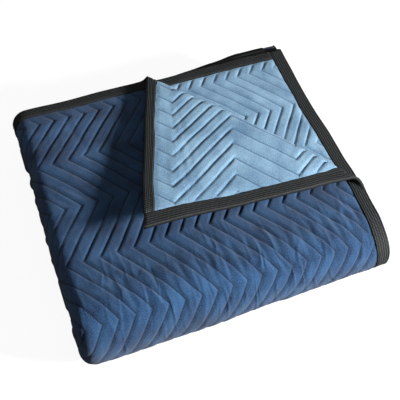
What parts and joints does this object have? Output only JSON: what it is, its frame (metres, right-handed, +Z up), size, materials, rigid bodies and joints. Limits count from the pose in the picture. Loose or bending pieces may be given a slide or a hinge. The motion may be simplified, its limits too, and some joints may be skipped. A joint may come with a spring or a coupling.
{
  "type": "moving blanket",
  "caption": "Quilted moving blanket folded into a thick square stack, with bound edges and one corner turned back to show its lighter underside.",
  "frame": {"origin": "middle of the folded stack's box, on the surface it lies on", "axes": "+Z up; the large rounded fold faces -Y; the bound side edges are at +X"},
  "size_m": [0.5392, 0.5247, 0.1382],
  "materials": {
    "face_cloth": "matt woven",
    "back_cloth": "matt woven with a slight sheen",
    "binding": "ribbed woven tape"
  },
  "bodies": {
    "root": {"face_cloth": "face_cloth", "back_cloth": "back_cloth", "side_binding_outer": "binding", "side_binding_inner": "binding", "end_binding_upper": "binding", "end_binding_lower": "binding"}
  },
  "joints": []
}
